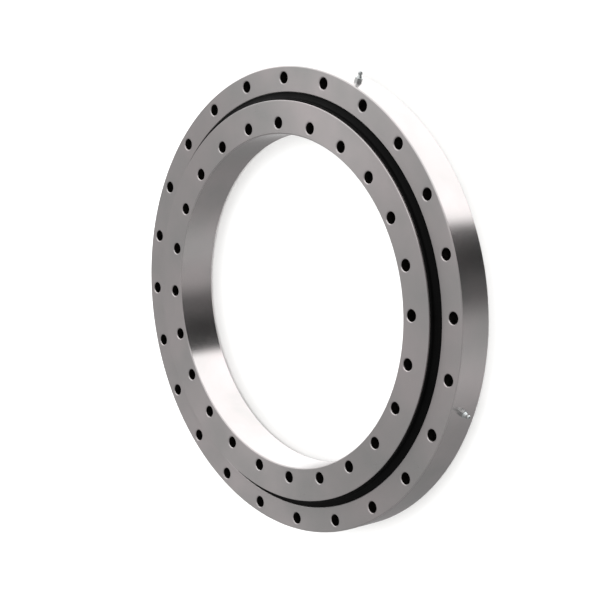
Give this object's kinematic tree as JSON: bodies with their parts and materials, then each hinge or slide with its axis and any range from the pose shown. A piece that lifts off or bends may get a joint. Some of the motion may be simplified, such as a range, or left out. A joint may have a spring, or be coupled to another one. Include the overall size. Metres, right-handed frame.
{
  "type": "slewing ring bearing",
  "caption": "Toothless slewing ring bearing: bolted inner and outer rings turn on one row of balls with spacers, lip seals, a load plug and grease nipples.",
  "frame": {"origin": "on the ring's axis, in the plane of the outer ring's bottom mounting face", "axes": "+Z along the ring's axis towards the inner ring's proud face; +X and +Y each through a grease nipple, midway between two bolt holes"},
  "size_m": [0.762, 0.762, 0.07],
  "materials": {
    "ring_steel": "turned and ground bare steel, satin",
    "seal_rubber": "black nitrile rubber, matt",
    "ball_steel": "lapped bearing steel, mirror finish",
    "spacer_nylon": "natural nylon",
    "plug_steel": "turned steel",
    "pin_steel": "ground steel",
    "nipple_zinc": "zinc-plated steel",
    "check_ball_steel": "polished steel",
    "spring_steel": "drawn spring wire"
  },
  "bodies": {
    "outer_race": {"outer_ring": "ring_steel", "bottom_seal": "seal_rubber", "load_plug": "plug_steel", "load_plug_pin": "pin_steel", "grease_nipple_1": "nipple_zinc", "grease_nipple_2": "nipple_zinc", "grease_nipple_3": "nipple_zinc", "grease_nipple_4": "nipple_zinc", "nipple_spring_1": "spring_steel", "nipple_spring_2": "spring_steel", "nipple_spring_3": "spring_steel", "nipple_spring_4": "spring_steel"},
    "inner_race": {"inner_ring": "ring_steel", "top_seal": "seal_rubber"},
    "ball_train": {"balls": "ball_steel", "spacers": "spacer_nylon"},
    "nipple_check_1": {"nipple_ball_1": "check_ball_steel"},
    "nipple_check_2": {"nipple_ball_2": "check_ball_steel"},
    "nipple_check_3": {"nipple_ball_3": "check_ball_steel"},
    "nipple_check_4": {"nipple_ball_4": "check_ball_steel"}
  },
  "joints": [
    {"name": "slewing", "type": "hinge", "parent": "outer_race", "child": "inner_race", "pos_m": [0, 0, 0.03], "axis": [0, 0, 1], "continuous": true},
    {"name": "ball_row_orbit", "type": "hinge", "parent": "outer_race", "child": "ball_train", "pos_m": [0, 0, 0.03], "axis": [0, 0, 1], "continuous": true},
    {"name": "nipple_check_1", "type": "slide", "parent": "outer_race", "child": "nipple_check_1", "axis": [-1, 0, 0], "range_m": [0, 0.0008], "stiffness_N_per_m": 400, "springref_m": -0.001, "deforming": ["nipple_spring_1"]},
    {"name": "nipple_check_2", "type": "slide", "parent": "outer_race", "child": "nipple_check_2", "axis": [0, -1, 0], "range_m": [0, 0.0008], "stiffness_N_per_m": 400, "springref_m": -0.001, "deforming": ["nipple_spring_2"]},
    {"name": "nipple_check_3", "type": "slide", "parent": "outer_race", "child": "nipple_check_3", "axis": [1, 0, 0], "range_m": [0, 0.0008], "stiffness_N_per_m": 400, "springref_m": -0.001, "deforming": ["nipple_spring_3"]},
    {"name": "nipple_check_4", "type": "slide", "parent": "outer_race", "child": "nipple_check_4", "axis": [0, 1, 0], "range_m": [0, 0.0008], "stiffness_N_per_m": 400, "springref_m": -0.001, "deforming": ["nipple_spring_4"]}
  ],
  "couplings": [
    {"joint": "ball_row_orbit", "follows": "slewing", "ratio": 0.48597}
  ]
}
